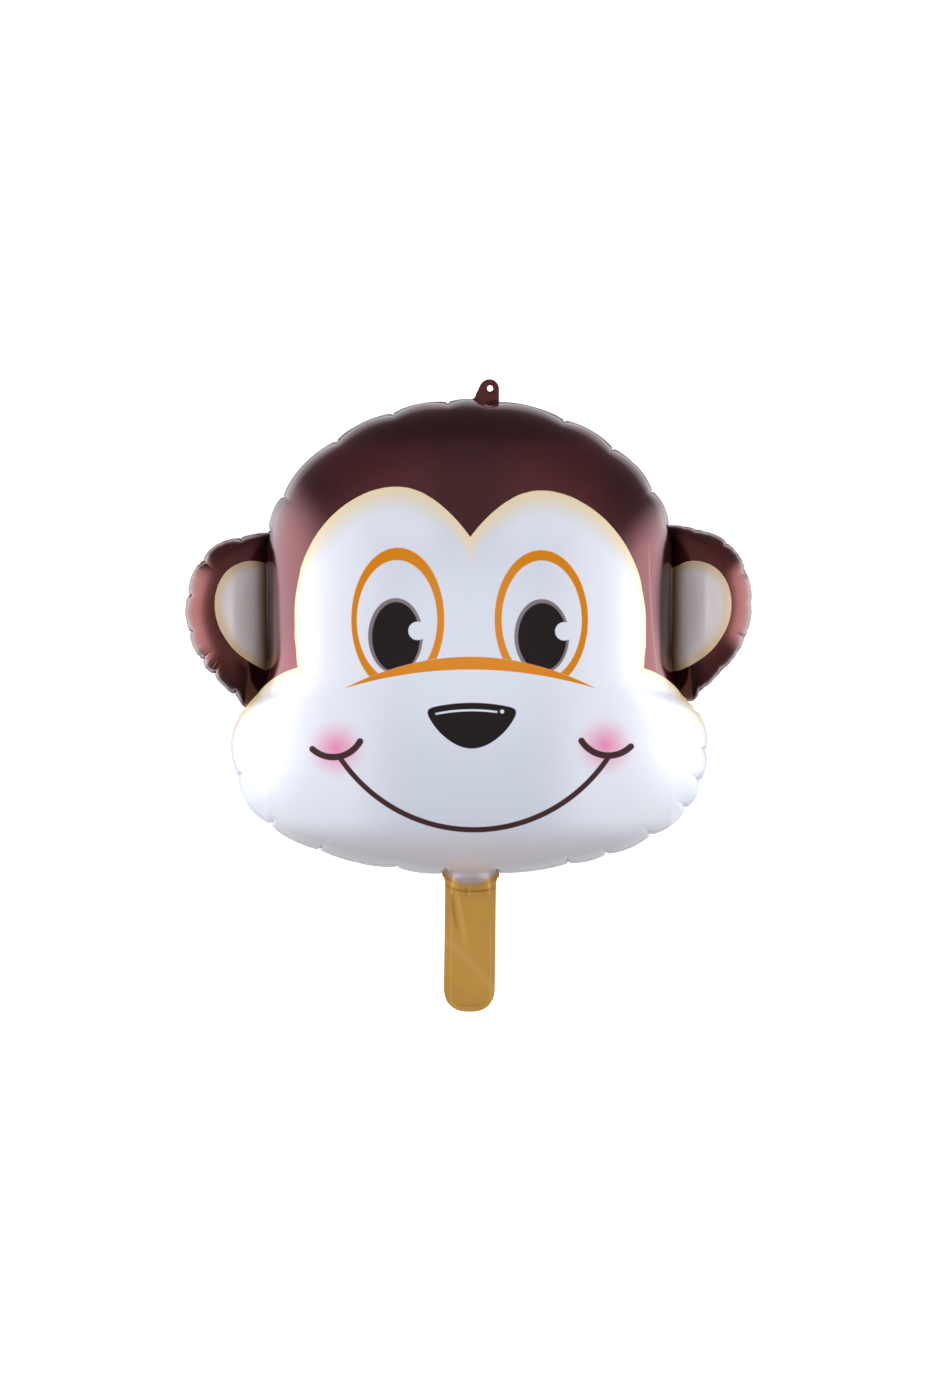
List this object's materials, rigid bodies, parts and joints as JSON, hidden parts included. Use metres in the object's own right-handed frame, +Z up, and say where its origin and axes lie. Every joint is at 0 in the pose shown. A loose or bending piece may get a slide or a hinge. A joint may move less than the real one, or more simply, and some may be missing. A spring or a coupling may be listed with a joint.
{
  "type": "animal head foil balloon",
  "caption": "Inflated foil balloon in the shape of a monkey's head with round ears, a hanging tab on top and an inflation tail below the chin.",
  "frame": {"origin": "middle of the flat spot on the balloon's back, on which it lies", "axes": "+X to the right of the face as seen, +Y to the top of the head, +Z up, out of the printed face"},
  "size_m": [0.5664, 0.6327, 0.2516],
  "materials": {
    "printed_foil": "metallised film with satin inks: dark brown, pearly white and gold"
  },
  "bodies": {
    "root": {"foil_envelope": "printed_foil"}
  },
  "joints": []
}
